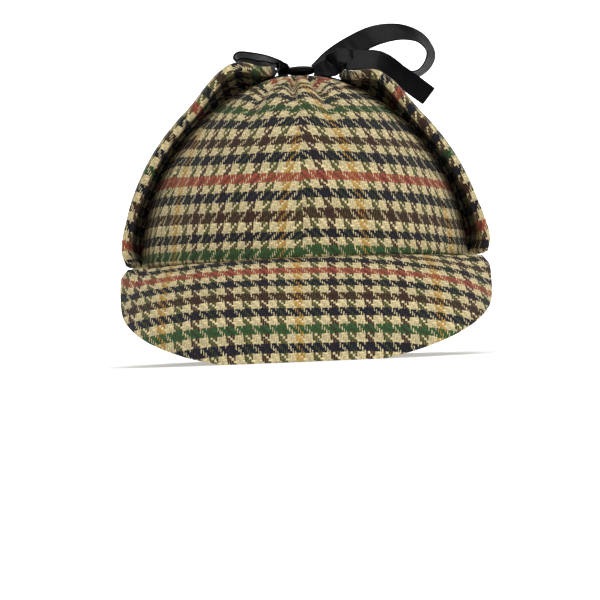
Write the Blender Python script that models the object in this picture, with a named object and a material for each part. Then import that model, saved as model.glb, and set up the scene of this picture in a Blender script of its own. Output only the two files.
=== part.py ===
"""Tweed deerstalker hat, with its ear flaps turned up and tied over the crown with a ribbon bow.

Metres, +Z up. The hat rests on the lower edges of its front and back peaks, at Z = 0, with the
middle of the head opening on the Z axis. The front peak points along -Y, and left and right are
as seen from the front.
"""

import math
from collections import namedtuple

import bmesh
import bpy
from mathutils import Vector

# Clearance between pieces that are sewn or lie together
GAP = 0.0003

# Crown: six gores sewn into one oval dome, open below for the head
HEAD_WIDTH = 0.1620
HEAD_LENGTH = 0.2000
CROWN_HEIGHT = 0.0970
CROWN_WALL = 0.0028
CROWN_SLOPE = 1.05
GORES = 6
SEAM_DEPTH = 0.0009
SEAM_WIDTH = 0.0050
PUCKER_DEPTH = 0.0036
PUCKER_WIDTH_DEG = 7.0

# Peaks: two stiffened visors sewn under the rim, front and back. Each is sewn over its span to
# either side of its middle, and its lower edge has the plan of a rounded oblong that starts
# PEAK_END_SETBACK from the middle of the hat.
PEAK_DROP = 0.0490
PEAK_REACH = 0.0380
PEAK_SIDE_REACH = 0.0068
PEAK_WALL = 0.0032
PEAK_BULGE = 0.0040
PEAK_SPAN_DEG = 70.0
PEAK_END_SETBACK = 0.0320
PEAK_SQUARENESS = 2.6
PEAK_END_HEIGHT = 0.0360
PEAK_EDGE_CURVE = 1.75
PEAK_END_ROUND = 0.0105
PEAK_FOOT = 0.0020
PEAK_SKEW = 0.0006

# Ear flaps: turned up from the rim at the sides
FLAP_WIDTH = 0.0860
FLAP_WALL = 0.0046
FLAP_STAND_OFF = 0.0048
FLAP_FLATNESS = 1.25
FLAP_CORNER_FLARE = 0.0070

# Ribbon bow, tied over the top of the crown
RIBBON_WIDTH = 0.0140
RIBBON_WALL = 0.0010
KNOT_OFFSET = 0.0020
KNOT_WIDTH = 0.0120
KNOT_DEPTH = 0.0120
KNOT_HEIGHT = 0.0060
TIP_DISTANCE = 0.0145
LOOP_REACH = 0.0622
LOOP_RISE = 0.0175
SHORT_LOOP_REACH = 0.0265
SHORT_LOOP_THICKNESS = 0.0028
TAIL_REACH = 0.0600
TAIL_RISE = 0.0045
BACK_TAIL_LENGTH = 0.0550
BACK_TAIL_LEAN = 0.0140
TIE_WIDTH = 0.0100
TIE_LAP = 0.0060

# Shares and limits of the shapes. A fade is a pair of places between which something comes in or
# goes out.
BORDER_ROUNDING = 0.35
PUCKER_FADE_IN_END = 0.78
PUCKER_FADE_OUT = (0.84, 1.00)
PEAK_ROOT_SINK = 1 / 3
PEAK_END_FADE = (0.80, 1.00)
PEAK_BULGE_EASE = 0.8
FLAP_ARCH_FADE = (0.62, 0.84)
FLAP_TIP_FADE = (0.83, 0.985)
FLAP_CORNER_DECAY = 0.16
FLAP_ROW_CROWDING = 0.06
BOW_LIFT = 0.25
BACK_TAIL_PINCH = 0.45
BACK_TAIL_PINCH_FADE = (0.0, 0.3)
SHARP_ANGLE_DEG = 50

# Mesh steps
CROWN_COLUMNS = 72
CROWN_RINGS = 15
PEAK_COLUMNS = 36
PEAK_ROWS = 6
FLAP_COLUMNS = 10
FLAP_ROWS = 20
LOOP_ROWS = 44
TAIL_ROWS = 16
TIE_ROWS = 6
CREST_STEPS = 40
KNOT_SEGMENTS = 14
KNOT_RINGS = 8
UNIT_RADIUS = 0.5

# Gathers near the top of the crown. turn is in degrees from the front seam towards +X, depth is a
# share of PUCKER_DEPTH, and start is the share of the climb where the gather begins.
Pucker = namedtuple("Pucker", "turn depth start")
PUCKERS = (
    Pucker(turn=-62, depth=0.5, start=0.55),
    Pucker(turn=-27, depth=1.0, start=0.48),
    Pucker(turn=0, depth=0.9, start=0.55),
    Pucker(turn=18, depth=1.0, start=0.42),
    Pucker(turn=55, depth=0.5, start=0.55),
    Pucker(turn=120, depth=0.5, start=0.60),
    Pucker(turn=162, depth=0.8, start=0.50),
    Pucker(turn=205, depth=0.8, start=0.50),
    Pucker(turn=240, depth=0.5, start=0.60),
)

# A flap from its fold at the rim to its tip. along is a share of its length, width a share of
# FLAP_WIDTH, and stand_off a share of FLAP_STAND_OFF.
FlapRow = namedtuple("FlapRow", "along width stand_off")
FLAP_ROWS_TABLE = (
    FlapRow(along=0.00, width=0.93, stand_off=0.00),
    FlapRow(along=0.05, width=0.98, stand_off=0.75),
    FlapRow(along=0.12, width=1.00, stand_off=1.00),
    FlapRow(along=0.35, width=0.97, stand_off=0.95),
    FlapRow(along=0.60, width=0.93, stand_off=0.80),
    FlapRow(along=0.80, width=0.84, stand_off=0.90),
    FlapRow(along=0.91, width=0.66, stand_off=0.90),
    FlapRow(along=0.97, width=0.43, stand_off=0.90),
    FlapRow(along=1.00, width=0.22, stand_off=0.90),
)

# The two flaps. tip_distance is a share of TIP_DISTANCE, bulge is the share of FLAP_STAND_OFF by
# which the flap arches before its tip, and corner is a share of FLAP_CORNER_FLARE.
Flap = namedtuple("Flap", "name side tip_distance bulge corner")
FLAPS = (
    Flap(name="ear_flap_left", side=-1, tip_distance=1.0, bulge=1.7, corner=0.7),
    Flap(name="ear_flap_right", side=1, tip_distance=1.25, bulge=1.6, corner=1.0),
)

# The middle line of a ribbon. out is a share of its reach, back and up are shares of
# RIBBON_WIDTH and of its rise, tilt is the angle of its width above the horizontal, with its
# rear edge the higher, and width is a share of RIBBON_WIDTH.
RibbonRow = namedtuple("RibbonRow", "out back up tilt width")
LOOP_TABLE = (
    RibbonRow(out=0.00, back=0.08, up=-0.04, tilt=50, width=0.40),
    RibbonRow(out=0.14, back=0.34, up=0.30, tilt=50, width=0.85),
    RibbonRow(out=0.32, back=0.44, up=0.60, tilt=50, width=1.00),
    RibbonRow(out=0.52, back=0.46, up=0.90, tilt=50, width=1.00),
    RibbonRow(out=0.72, back=0.48, up=1.00, tilt=36, width=1.00),
    RibbonRow(out=0.88, back=0.50, up=0.82, tilt=24, width=1.00),
    RibbonRow(out=0.985, back=0.52, up=0.48, tilt=18, width=1.00),
    RibbonRow(out=1.00, back=0.58, up=0.20, tilt=16, width=1.00),
    RibbonRow(out=0.95, back=0.66, up=-0.14, tilt=16, width=1.00),
    RibbonRow(out=0.84, back=0.72, up=-0.30, tilt=16, width=1.00),
    RibbonRow(out=0.66, back=0.74, up=-0.12, tilt=16, width=1.00),
    RibbonRow(out=0.42, back=0.74, up=0.08, tilt=16, width=1.00),
    RibbonRow(out=0.18, back=0.66, up=0.06, tilt=16, width=0.80),
    RibbonRow(out=0.00, back=0.32, up=-0.06, tilt=16, width=0.35),
)
SHORT_LOOP_TABLE = (
    RibbonRow(out=0.00, back=0.10, up=0.50, tilt=45, width=0.40),
    RibbonRow(out=0.16, back=0.12, up=1.20, tilt=34, width=0.70),
    RibbonRow(out=0.38, back=0.12, up=1.95, tilt=12, width=0.95),
    RibbonRow(out=0.70, back=0.12, up=2.10, tilt=10, width=1.00),
    RibbonRow(out=0.96, back=0.12, up=2.15, tilt=8, width=1.00),
    RibbonRow(out=1.00, back=0.12, up=1.50, tilt=8, width=1.00),
    RibbonRow(out=0.96, back=0.12, up=0.80, tilt=8, width=1.00),
    RibbonRow(out=0.70, back=0.12, up=0.80, tilt=8, width=1.00),
    RibbonRow(out=0.40, back=0.12, up=0.60, tilt=8, width=0.90),
    RibbonRow(out=0.18, back=0.12, up=0.00, tilt=8, width=0.70),
    RibbonRow(out=0.00, back=0.10, up=-0.60, tilt=8, width=0.40),
)
TAIL_TABLE = (
    RibbonRow(out=0.00, back=-0.24, up=0.10, tilt=50, width=0.40),
    RibbonRow(out=0.14, back=-0.38, up=1.00, tilt=50, width=0.90),
    RibbonRow(out=0.34, back=-0.38, up=0.85, tilt=48, width=1.00),
    RibbonRow(out=0.50, back=-0.38, up=0.20, tilt=46, width=1.00),
    RibbonRow(out=0.66, back=-0.38, up=-0.80, tilt=46, width=1.00),
    RibbonRow(out=0.84, back=-0.38, up=-2.20, tilt=46, width=0.98),
    RibbonRow(out=1.00, back=-0.38, up=-3.60, tilt=46, width=0.75),
)


def clear_scene():
    for thing in list(bpy.data.objects):
        bpy.data.objects.remove(thing, do_unlink=True)


def make_material(name, color, roughness, sheen):
    material = bpy.data.materials.new(name)
    material.use_nodes = True
    shader = material.node_tree.nodes["Principled BSDF"]
    shader.inputs["Base Color"].default_value = (*color, 1.0)
    shader.inputs["Roughness"].default_value = roughness
    shader.inputs["Metallic"].default_value = 0.0
    shader.inputs["Sheen Weight"].default_value = sheen
    return material


def add_object(name, mesh_builder, material):
    """One named object from a bmesh, with its faces turned outwards."""
    bmesh.ops.recalc_face_normals(mesh_builder, faces=mesh_builder.faces)
    mesh = bpy.data.meshes.new(name)
    mesh_builder.to_mesh(mesh)
    mesh_builder.free()
    mesh.shade_smooth()
    mesh.set_sharp_from_angle(angle=math.radians(SHARP_ANGLE_DEG))
    mesh.materials.append(material)
    thing = bpy.data.objects.new(name, mesh)
    bpy.context.scene.collection.objects.link(thing)
    return thing


def read_table(rows, column, at):
    """A column of a table at a place between its rows, on a smooth curve through them.

    The first column of each row is its place, and the places rise.
    """
    places = [row[0] for row in rows]
    values = [getattr(row, column) for row in rows]
    return smooth_value(places, values, at)


def smooth_value(places, values, at):
    last = len(places) - 1
    at = min(max(at, places[0]), places[last])
    span = next(index for index in range(last) if at <= places[index + 1])

    def slope(index):
        before = max(index - 1, 0)
        after = min(index + 1, last)
        return (values[after] - values[before]) / (places[after] - places[before])

    step = places[span + 1] - places[span]
    share = (at - places[span]) / step
    start = (1 + 2 * share) * (1 - share) ** 2 * values[span]
    start += share * (1 - share) ** 2 * step * slope(span)
    end = share**2 * (3 - 2 * share) * values[span + 1]
    end += share**2 * (share - 1) * step * slope(span + 1)
    return start + end


def smoothstep(low, high, value):
    share = min(max((value - low) / (high - low), 0.0), 1.0)
    return share * share * (3 - 2 * share)


def turn_difference(first, second):
    """The angle between two turns, in degrees, from 0 to 180."""
    return abs((first - second + 180.0) % 360.0 - 180.0)


def crown_dent(turn, climb):
    """How deep the surface lies under the plain dome. turn in degrees, climb in radians."""
    radius = 0.25 * (HEAD_WIDTH + HEAD_LENGTH) * math.cos(climb)
    dent = 0.0
    for gore in range(GORES):
        aside = math.radians(turn_difference(turn, gore * 360.0 / GORES)) * radius
        dent += SEAM_DEPTH * math.exp(-((2 * aside / SEAM_WIDTH) ** 2)) * math.cos(climb)
    share = climb / math.radians(90)
    for pucker in PUCKERS:
        fade = smoothstep(pucker.start, PUCKER_FADE_IN_END, share)
        fade *= 1 - smoothstep(*PUCKER_FADE_OUT, share)
        across = turn_difference(turn, pucker.turn) / PUCKER_WIDTH_DEG
        dent += PUCKER_DEPTH * pucker.depth * fade * math.exp(-(across**2))
    return dent


def dome_profile(climb):
    """Level and rising shares of the dome's section. It is a little straighter than a circle."""
    return math.cos(climb) ** CROWN_SLOPE, math.sin(climb) ** CROWN_SLOPE


def crown_point(turn, climb, inset):
    """A point of the crown, inset from its outer face. turn in degrees, climb in radians."""
    angle = math.radians(turn)
    level, rise = dome_profile(climb)
    out = Vector(
        (
            (HEAD_WIDTH / 2 + CROWN_WALL - inset) * level * math.sin(angle),
            -(HEAD_LENGTH / 2 + CROWN_WALL - inset) * level * math.cos(angle),
            (CROWN_HEIGHT - inset) * rise,
        )
    )
    out *= 1 - crown_dent(turn, climb) / out.length
    return out + Vector((0, 0, PEAK_DROP))


def crown_top(x, y):
    """The height of the plain dome above a point, which no dent rises over."""
    across = x / (HEAD_WIDTH / 2 + CROWN_WALL)
    along = y / (HEAD_LENGTH / 2 + CROWN_WALL)
    inside = max(0.0, 1 - (across**2 + along**2) ** (1 / CROWN_SLOPE))
    return PEAK_DROP + CROWN_HEIGHT * inside ** (CROWN_SLOPE / 2)


def add_crown(material):
    """The hollow dome: an outer and an inner skin that meet in a flat rim."""
    builder = bmesh.new()
    skins = []
    for inset in (0.0, CROWN_WALL):
        rings = []
        for ring in range(CROWN_RINGS):
            climb = math.radians(90) * ring / CROWN_RINGS
            points = [
                crown_point(360.0 * column / CROWN_COLUMNS, climb, inset)
                for column in range(CROWN_COLUMNS)
            ]
            rings.append([builder.verts.new(point) for point in points])
        top = builder.verts.new((0, 0, PEAK_DROP + CROWN_HEIGHT - inset))
        skins.append(rings)
        for column in range(CROWN_COLUMNS):
            beside = (column + 1) % CROWN_COLUMNS
            for low, high in zip(rings, rings[1:]):
                builder.faces.new((low[column], low[beside], high[beside], high[column]))
            builder.faces.new((rings[-1][column], rings[-1][beside], top))
    outer, inner = (rings[0] for rings in skins)
    for column in range(CROWN_COLUMNS):
        beside = (column + 1) % CROWN_COLUMNS
        builder.faces.new((outer[column], outer[beside], inner[beside], inner[column]))
    return add_object("crown", builder, material)


def sheet_normals(grid):
    rows = len(grid)
    columns = len(grid[0])
    normals = []
    for row in range(rows):
        line = []
        for column in range(columns):
            along = grid[min(row + 1, rows - 1)][column] - grid[max(row - 1, 0)][column]
            across = grid[row][min(column + 1, columns - 1)] - grid[row][max(column - 1, 0)]
            line.append(along.cross(across).normalized())
        normals.append(line)
    return normals


def border_of(rows, columns):
    """The border of a grid in order, each place with its neighbour towards the middle."""
    last_row = rows - 1
    last_column = columns - 1
    places = [(0, column) for column in range(last_column)]
    places += [(row, last_column) for row in range(last_row)]
    places += [(last_row, column) for column in range(last_column, 0, -1)]
    places += [(row, 0) for row in range(last_row, 0, -1)]
    inward = []
    for row, column in places:
        inner_row = 1 if row == 0 else last_row - 1 if row == last_row else row
        inner_column = 1 if column == 0 else last_column - 1 if column == last_column else column
        inward.append((inner_row, inner_column))
    return list(zip(places, inward))


def padded_sheet(name, grid, wall, material, lowest=None, highest=None):
    """A closed solid, wall thick, round a grid of middle points, with a rounded border."""
    rows = len(grid)
    columns = len(grid[0])
    normals = sheet_normals(grid)
    builder = bmesh.new()

    def add_point(point):
        if lowest is not None:
            point.z = max(point.z, lowest)
        if highest is not None:
            point.z = min(point.z, highest)
        return builder.verts.new(point)

    skins = []
    for offset in (wall / 2, -wall / 2):
        skins.append(
            [
                [add_point(grid[row][col] + normals[row][col] * offset) for col in range(columns)]
                for row in range(rows)
            ]
        )
    for skin in skins:
        for row in range(rows - 1):
            for col in range(columns - 1):
                builder.faces.new(
                    (skin[row][col], skin[row + 1][col], skin[row + 1][col + 1], skin[row][col + 1])
                )
    border = border_of(rows, columns)
    edge = []
    for (row, col), (inner_row, inner_col) in border:
        outward = (grid[row][col] - grid[inner_row][inner_col]).normalized()
        edge.append(add_point(grid[row][col] + outward * wall * BORDER_ROUNDING))
    for index, ((row, col), _) in enumerate(border):
        (next_row, next_col), _ = border[(index + 1) % len(border)]
        next_edge = edge[(index + 1) % len(border)]
        for skin in skins:
            builder.faces.new(
                (skin[row][col], skin[next_row][next_col], next_edge, edge[index])
            )
    return add_object(name, builder, material)


def peak_edge_height(share):
    """Height of a peak's lower edge, at a share of the way from its middle to its end.

    It is pressed flat where this is under zero, and rounded off at its ends. One side hangs a
    little lower than the other.
    """
    height = PEAK_END_HEIGHT * abs(share) ** PEAK_EDGE_CURVE - PEAK_FOOT
    height += PEAK_SKEW * math.sin(math.pi * share)
    return height + PEAK_END_ROUND * smoothstep(*PEAK_END_FADE, abs(share)) ** 2


def peak_point(share, down, facing):
    """A point of a peak's middle surface, from its root under the rim to its lower edge."""
    turn = math.radians(PEAK_SPAN_DEG) * share
    side = math.sin(turn)
    front = math.cos(turn)
    root = Vector(
        (
            (HEAD_WIDTH + CROWN_WALL) / 2 * side,
            (HEAD_LENGTH + CROWN_WALL) / 2 * front,
            PEAK_DROP - GAP - PEAK_WALL * PEAK_ROOT_SINK,
        )
    )
    swing = math.sin(math.radians(90) * share)
    squared = max(0.0, 1 - abs(swing) ** PEAK_SQUARENESS) ** (1 / PEAK_SQUARENESS)
    depth = HEAD_LENGTH / 2 + CROWN_WALL + PEAK_REACH - PEAK_END_SETBACK
    edge = Vector(
        (
            (HEAD_WIDTH / 2 + CROWN_WALL + PEAK_SIDE_REACH) * swing,
            PEAK_END_SETBACK + depth * squared,
            peak_edge_height(share),
        )
    )
    run = edge - root
    level = Vector((run.x, run.y, 0)).normalized()
    upward = (level * -run.z + Vector((0, 0, 1)) * run.dot(level)).normalized()
    point = root + run * down + upward * PEAK_BULGE * math.sin(math.pi * down**PEAK_BULGE_EASE)
    return Vector((point.x, point.y * facing, point.z))


def add_peak(name, facing, material):
    grid = [
        [
            peak_point(2 * column / PEAK_COLUMNS - 1, row / PEAK_ROWS, facing)
            for column in range(PEAK_COLUMNS + 1)
        ]
        for row in range(PEAK_ROWS + 1)
    ]
    return padded_sheet(name, grid, PEAK_WALL, material, 0.0, PEAK_DROP - GAP)


def flap_stand_off(flap, along):
    """The clear space under a flap, down to the room that its sewn tie needs at its tip."""
    plain = read_table(FLAP_ROWS_TABLE, "stand_off", along)
    arched = FLAP_STAND_OFF * (plain + (flap.bulge - plain) * smoothstep(*FLAP_ARCH_FADE, along))
    tie_room = RIBBON_WALL + GAP
    return arched + (tie_room - arched) * smoothstep(*FLAP_TIP_FADE, along)


def flap_point(flap, along, across, offset=0.0):
    """A point of a flap's middle surface, or offset outwards from it. across is -1 at its front."""
    stand_off = flap_stand_off(flap, along)
    corner = max(0.0, -across) ** 3 * math.exp(-along / FLAP_CORNER_DECAY)
    stand_off += FLAP_CORNER_FLARE * flap.corner * corner
    stand_off += GAP + FLAP_WALL / 2 + offset
    half_width = HEAD_WIDTH / 2 + CROWN_WALL + stand_off
    half_length = (HEAD_LENGTH / 2 + CROWN_WALL) * FLAP_FLATNESS + stand_off
    rise = CROWN_HEIGHT + stand_off
    tip = KNOT_OFFSET + flap.side * TIP_DISTANCE * flap.tip_distance
    first = math.asin(((GAP + FLAP_WALL / 2) / rise) ** (1 / CROWN_SLOPE))
    final = math.acos((flap.side * tip / half_width) ** (1 / CROWN_SLOPE))
    level, up = dome_profile(first + (final - first) * along)
    y = across * FLAP_WIDTH / 2 * read_table(FLAP_ROWS_TABLE, "width", along)
    bend = math.sqrt(1 - (y / half_length) ** 2)
    return Vector(
        (
            flap.side * half_width * bend * level,
            y,
            PEAK_DROP + rise * bend * up,
        )
    )


def add_flap(flap, material):
    """A flap, with its rows closer together towards the fold and the tip."""
    grid = []
    for row in range(FLAP_ROWS + 1):
        share = row / FLAP_ROWS
        along = share - FLAP_ROW_CROWDING * math.sin(2 * math.pi * share)
        grid.append(
            [
                flap_point(flap, along, 2 * column / FLAP_COLUMNS - 1)
                for column in range(FLAP_COLUMNS + 1)
            ]
        )
    return padded_sheet(flap.name, grid, FLAP_WALL, material, lowest=PEAK_DROP + GAP)


def top_surface(x):
    """The height of what a ribbon can lie on at x: the crown, or a flap's outer face."""
    height = crown_top(x, 0.0)
    for flap in FLAPS:
        crest = [
            flap_point(flap, step / CREST_STEPS, 0.0, FLAP_WALL / 2)
            for step in range(CREST_STEPS + 1)
        ]
        tip = crest[-1].x - flap.side * FLAP_WALL / 2
        if (x - tip) * flap.side < 0:
            continue
        for low, high in zip(crest, crest[1:]):
            if min(low.x, high.x) <= x <= max(low.x, high.x):
                share = (x - low.x) / (high.x - low.x)
                height = max(height, low.z + (high.z - low.z) * share)
        height = max(height, crest[-1].z if abs(x - crest[-1].x) <= FLAP_WALL else 0.0)
    return height


def knot_middle():
    return PEAK_DROP + CROWN_HEIGHT + GAP + KNOT_HEIGHT / 2


def ribbon_grid(table, rows, side, reach, rise, base):
    """Middle points of a ribbon beside the knot. It is lifted where it would cut what is below."""
    start = KNOT_OFFSET + side * (KNOT_WIDTH / 2 + GAP + RIBBON_WALL / 2)
    stations = [step * (len(table) - 1) / rows for step in range(rows + 1)]
    numbers = list(range(len(table)))
    columns = {
        column: [getattr(row, column) for row in table] for column in RibbonRow._fields
    }
    grid = []
    for station in stations:
        out, back, up, tilt, width = (
            smooth_value(numbers, columns[column], station) for column in RibbonRow._fields
        )
        tilt = math.radians(tilt)
        half = RIBBON_WIDTH * width / 2
        x = start + side * reach * out
        across = Vector((0, math.cos(tilt), math.sin(tilt))) * half
        below = max(top_surface(x + near * FLAP_WALL / 2) for near in (-1, 0, 1))
        resting = below + GAP + RIBBON_WALL / 2 + abs(across.z)
        z = max(base + rise * up, resting)
        middle = Vector((x, RIBBON_WIDTH * back, z))
        grid.append([middle - across, middle, middle + across])
    return grid


def add_bow(material):
    knot = bmesh.new()
    bmesh.ops.create_uvsphere(
        knot, u_segments=KNOT_SEGMENTS, v_segments=KNOT_RINGS, radius=UNIT_RADIUS
    )
    bmesh.ops.scale(knot, vec=(KNOT_WIDTH, KNOT_DEPTH, KNOT_HEIGHT), verts=knot.verts)
    bmesh.ops.translate(knot, vec=(KNOT_OFFSET, 0, knot_middle()), verts=knot.verts)
    add_object("ribbon_knot", knot, material)

    base = knot_middle() + KNOT_HEIGHT * BOW_LIFT
    grid = ribbon_grid(LOOP_TABLE, LOOP_ROWS, 1, LOOP_REACH, LOOP_RISE, base)
    padded_sheet("ribbon_loop_right", grid, RIBBON_WALL, material)
    grid = ribbon_grid(
        SHORT_LOOP_TABLE, LOOP_ROWS, -1, SHORT_LOOP_REACH, SHORT_LOOP_THICKNESS, base
    )
    padded_sheet("ribbon_loop_left", grid, RIBBON_WALL, material)
    grid = ribbon_grid(TAIL_TABLE, TAIL_ROWS, 1, TAIL_REACH, TAIL_RISE, base)
    padded_sheet("ribbon_tail_right", grid, RIBBON_WALL, material)
    padded_sheet("ribbon_tail_back", back_tail_grid(), RIBBON_WALL, material)
    for flap in FLAPS:
        name = flap.name.replace("ear_flap", "ribbon_tie")
        padded_sheet(name, tie_grid(flap), RIBBON_WALL, material)


def lying_row(points):
    """Points of a ribbon's middle where it lies on the crown."""
    return [Vector((x, y, crown_top(x, y) + GAP + RIBBON_WALL / 2)) for x, y in points]


def tie_grid(flap):
    """The tie sewn under a flap's tip, which lies on the crown up to the knot."""
    start = KNOT_OFFSET + flap.side * (KNOT_WIDTH / 2 + GAP + RIBBON_WALL / 2)
    end = KNOT_OFFSET + flap.side * (TIP_DISTANCE * flap.tip_distance + TIE_LAP)
    grid = []
    for row in range(TIE_ROWS + 1):
        x = start + (end - start) * row / TIE_ROWS
        grid.append(lying_row([(x, TIE_WIDTH / 2 * across) for across in (-1, 0, 1)]))
    return grid


def back_tail_grid():
    """The second tail lies down the back of the crown, behind the knot."""
    grid = []
    for row in range(TAIL_ROWS + 1):
        share = row / TAIL_ROWS
        y = KNOT_DEPTH / 2 + GAP + RIBBON_WALL / 2 + BACK_TAIL_LENGTH * share
        middle = KNOT_OFFSET - BACK_TAIL_LEAN * share
        opened = smoothstep(*BACK_TAIL_PINCH_FADE, share)
        half = RIBBON_WIDTH / 2 * (BACK_TAIL_PINCH + (1 - BACK_TAIL_PINCH) * opened)
        grid.append(lying_row([(middle + across * half, y) for across in (-1, 0, 1)]))
    return grid


def main():
    clear_scene()
    crown_tweed = make_material("crown_tweed", (0.30, 0.27, 0.17), 0.95, 0.3)
    peak_tweed = make_material("peak_tweed", (0.36, 0.32, 0.21), 0.95, 0.3)
    flap_tweed = make_material("flap_tweed", (0.24, 0.21, 0.13), 0.95, 0.3)
    ribbon_satin = make_material("ribbon_satin", (0.012, 0.012, 0.016), 0.35, 0.0)
    add_crown(crown_tweed)
    add_peak("front_peak", -1, peak_tweed)
    add_peak("back_peak", 1, peak_tweed)
    for flap in FLAPS:
        add_flap(flap, flap_tweed)
    add_bow(ribbon_satin)


main()
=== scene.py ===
"""Looks of a tweed deerstalker hat: cloth pieces, satin bow, floor, light and camera.

Metres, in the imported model's frame: +Z up, the front peak towards -Y, left and right as seen from
the front. The hat's sizes start from those of the solid model; the seams, the arch of the flaps and
the lie of the ribbons are finer here.
"""

import math
from collections import namedtuple

import bmesh
import bpy
import numpy as np
from mathutils import Matrix, Vector


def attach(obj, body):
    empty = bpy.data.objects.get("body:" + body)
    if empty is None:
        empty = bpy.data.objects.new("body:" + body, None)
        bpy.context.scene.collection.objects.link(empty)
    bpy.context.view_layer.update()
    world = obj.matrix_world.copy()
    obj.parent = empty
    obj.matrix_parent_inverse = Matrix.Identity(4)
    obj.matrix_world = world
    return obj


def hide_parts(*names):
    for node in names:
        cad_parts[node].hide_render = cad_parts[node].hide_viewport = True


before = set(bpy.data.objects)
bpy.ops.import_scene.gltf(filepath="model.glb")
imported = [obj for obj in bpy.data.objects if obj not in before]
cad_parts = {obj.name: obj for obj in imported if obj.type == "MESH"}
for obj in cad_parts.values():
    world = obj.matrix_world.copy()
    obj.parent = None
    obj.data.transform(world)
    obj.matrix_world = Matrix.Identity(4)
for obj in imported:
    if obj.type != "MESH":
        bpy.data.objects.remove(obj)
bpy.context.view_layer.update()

# Sizes shared with the solid model, and finer ones
GAP = 0.0003
HEAD_WIDTH = 0.1620
HEAD_LENGTH = 0.2000
CROWN_HEIGHT = 0.0970
CROWN_WALL = 0.0028
CROWN_SLOPE = 1.05
GORES = 6
SEAM_DEPTH = 0.0012
SEAM_WIDTH = 0.0030
PUCKER_DEPTH = 0.0036
PEAK_DROP = 0.0490
PEAK_REACH = 0.0380
PEAK_SIDE_REACH = 0.0068
PEAK_WALL = 0.0032
PEAK_BULGE = 0.0040
PEAK_SPAN_DEG = 70.0
PEAK_END_SETBACK = 0.0320
PEAK_SQUARENESS = 2.6
PEAK_END_HEIGHT = 0.0360
PEAK_EDGE_CURVE = 1.75
PEAK_END_ROUND = 0.0105
PEAK_FOOT = 0.0020
PEAK_SKEW = 0.0006
FLAP_WIDTH = 0.0860
FLAP_WALL = 0.0046
FLAP_STAND_OFF = 0.0048
FLAP_FLATNESS = 1.25
FLAP_CORNER_FLARE = 0.0070
RIBBON_WIDTH = 0.0140
RIBBON_WALL = 0.0010
KNOT_OFFSET = 0.0020
KNOT_WIDTH = 0.0120
KNOT_DEPTH = 0.0120
KNOT_HEIGHT = 0.0060
TIP_DISTANCE = 0.0145
LOOP_REACH = 0.0622
LOOP_RISE = 0.0175
SHORT_LOOP_REACH = 0.0265
SHORT_LOOP_THICKNESS = 0.0028
TAIL_REACH = 0.0600
TAIL_RISE = 0.0045
BACK_TAIL_LENGTH = 0.0550
BACK_TAIL_LEAN = 0.0140
TIE_WIDTH = 0.0100
TIE_LAP = 0.0060
PUCKER_FADE_IN_END = 0.78
PUCKER_FADE_OUT = (0.84, 1.00)
PEAK_ROOT_SINK = 1 / 3
PEAK_END_FADE = (0.80, 1.00)
PEAK_BULGE_EASE = 0.8
FLAP_ARCH_FADE = (0.62, 0.84)
FLAP_TIP_FADE = (0.83, 0.985)
FLAP_CORNER_DECAY = 0.16
FLAP_REAR_REST = 0.95
FLAP_REAR_FADE = (0.1, 0.8)
RIBBON_REST = 0.85
BOW_LIFT = 0.25
BACK_TAIL_PINCH = 0.45
BACK_TAIL_PINCH_FADE = (0.0, 0.3)

CHECK_COLUMN = 0.0081
CHECK_ROW = 0.0102
THREADS = 8

# Gathers near the top of the crown. turn is in degrees from the front seam towards +X at half of the
# climb, lean is how many degrees it moves on over the climb, depth is a share of PUCKER_DEPTH, width
# is in degrees, and start is the share of the climb where the gather begins.
Pucker = namedtuple("Pucker", "turn lean depth width start")
PUCKERS = (
    Pucker(turn=-62, lean=0, depth=0.5, width=7.0, start=0.55),
    Pucker(turn=-26, lean=-22, depth=1.2, width=6.0, start=0.36),
    Pucker(turn=-1.5, lean=-12, depth=1.3, width=4.5, start=0.42),
    Pucker(turn=15, lean=22, depth=1.4, width=6.0, start=0.32),
    Pucker(turn=55, lean=0, depth=0.5, width=7.0, start=0.55),
    Pucker(turn=120, lean=0, depth=0.5, width=7.0, start=0.60),
    Pucker(turn=162, lean=0, depth=0.8, width=7.0, start=0.50),
    Pucker(turn=205, lean=0, depth=0.8, width=7.0, start=0.50),
    Pucker(turn=240, lean=0, depth=0.5, width=7.0, start=0.60),
)

FlapRow = namedtuple("FlapRow", "along width stand_off")
FLAP_ROWS_TABLE = (
    FlapRow(along=0.00, width=0.93, stand_off=0.00),
    FlapRow(along=0.05, width=0.98, stand_off=0.75),
    FlapRow(along=0.12, width=1.00, stand_off=1.00),
    FlapRow(along=0.35, width=0.97, stand_off=0.95),
    FlapRow(along=0.60, width=0.93, stand_off=0.80),
    FlapRow(along=0.80, width=0.84, stand_off=0.90),
    FlapRow(along=0.91, width=0.66, stand_off=0.90),
    FlapRow(along=0.97, width=0.43, stand_off=0.90),
    FlapRow(along=1.00, width=0.22, stand_off=0.90),
)

Flap = namedtuple("Flap", "name side tip_distance bulge corner")
FLAPS = (
    Flap(name="ear_flap_left", side=-1, tip_distance=1.0, bulge=2.0, corner=0.7),
    Flap(name="ear_flap_right", side=1, tip_distance=1.5, bulge=1.6, corner=1.0),
)

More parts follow.
